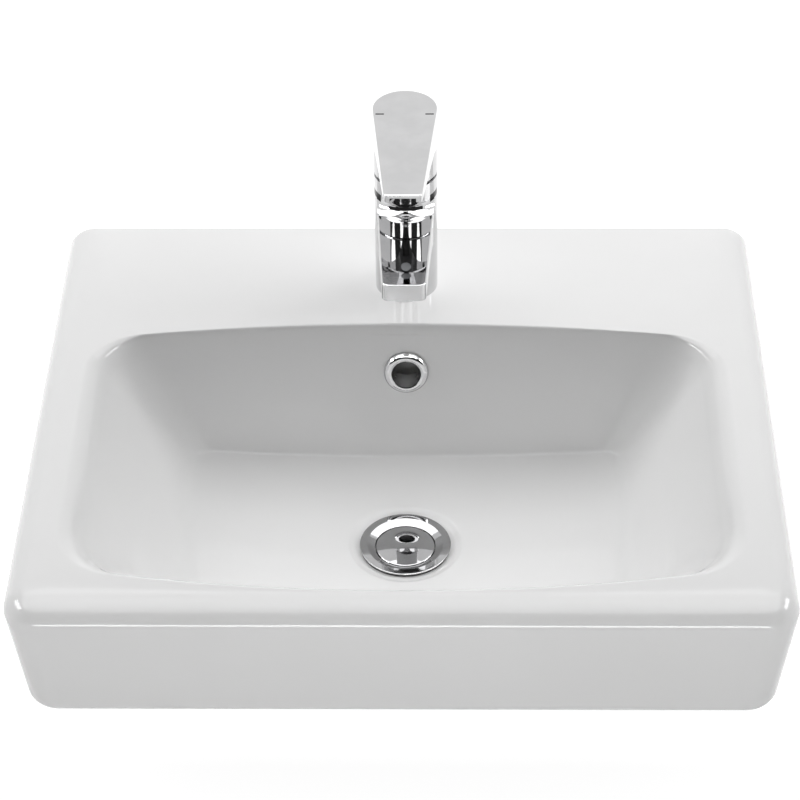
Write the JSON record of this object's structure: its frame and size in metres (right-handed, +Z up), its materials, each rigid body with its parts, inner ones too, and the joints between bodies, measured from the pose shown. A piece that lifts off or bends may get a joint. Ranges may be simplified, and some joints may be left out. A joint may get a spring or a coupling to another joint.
{
  "type": "washbasin",
  "caption": "Wall-hung rectangular ceramic washbasin with a bowed bowl, single-lever mixer tap, overflow ring and push-open waste.",
  "frame": {"origin": "in the wall plane, midway between the two wall-fixing holes", "axes": "+X right seen from the front, +Y into the wall, +Z up"},
  "size_m": [0.5, 0.415, 0.345],
  "materials": {
    "glaze": "glossy white glaze",
    "chrome": "polished chrome plate",
    "grey_plastic": "gloss",
    "black_rubber": "matt",
    "steel": "brushed zinc-plated",
    "brass": "machined",
    "white_plastic": "matt moulded",
    "disc_ceramic": "lapped"
  },
  "bodies": {
    "basin_and_fittings": {"basin": "glaze", "overflow_ring": "chrome", "tap_body": "chrome", "collar_ring": "chrome", "aerator_housing": "chrome", "waste_flange": "chrome", "tap_base_seal": "black_rubber", "tap_rubber_horseshoe": "black_rubber", "cartridge_port_seals": "black_rubber", "aerator_washer": "black_rubber", "waste_top_seal": "black_rubber", "waste_lower_seal": "black_rubber", "tap_mounting_stud": "steel", "tap_steel_horseshoe": "steel", "latch_spring": "steel", "tap_mounting_nut": "brass", "cartridge_clamp_nut": "brass", "waste_backnut": "brass", "cartridge_base": "white_plastic", "cartridge_housing": "white_plastic", "aerator_insert": "white_plastic", "waste_slip_washer": "white_plastic", "push_latch": "white_plastic", "fixed_disc": "disc_ceramic"},
    "turner": {"cartridge_turner": "white_plastic", "lever_pivot_pin": "steel"},
    "lever": {"spindle": "brass", "tap_handle": "chrome", "handle_grub_screw": "steel", "handle_index_cap": "grey_plastic"},
    "mixing_disc": {"moving_disc": "disc_ceramic", "disc_carriage": "white_plastic"},
    "plug": {"plug_cap": "chrome", "plug_seal": "black_rubber", "plug_stem": "brass"}
  },
  "joints": [
    {"name": "lever_swing", "type": "hinge", "parent": "basin_and_fittings", "child": "turner", "pos_m": [0, -0.071, 0.152], "axis": [0, 0, 1], "range_deg": [-45, 45]},
    {"name": "lever_lift", "type": "hinge", "parent": "turner", "child": "lever", "pos_m": [0, -0.071, 0.1575], "axis": [-1, 0, 0], "range_deg": [0, 25]},
    {"name": "disc_slide", "type": "slide", "parent": "turner", "child": "mixing_disc", "axis": [0, -1, 0], "range_m": [0, 0.00546]},
    {"name": "plug_lift", "type": "slide", "parent": "basin_and_fittings", "child": "plug", "axis": [0, 0, 1], "range_m": [0, 0.009]}
  ],
  "couplings": [
    {"joint": "disc_slide", "follows": "lever_lift", "m_per_rad": 0.0125}
  ]
}
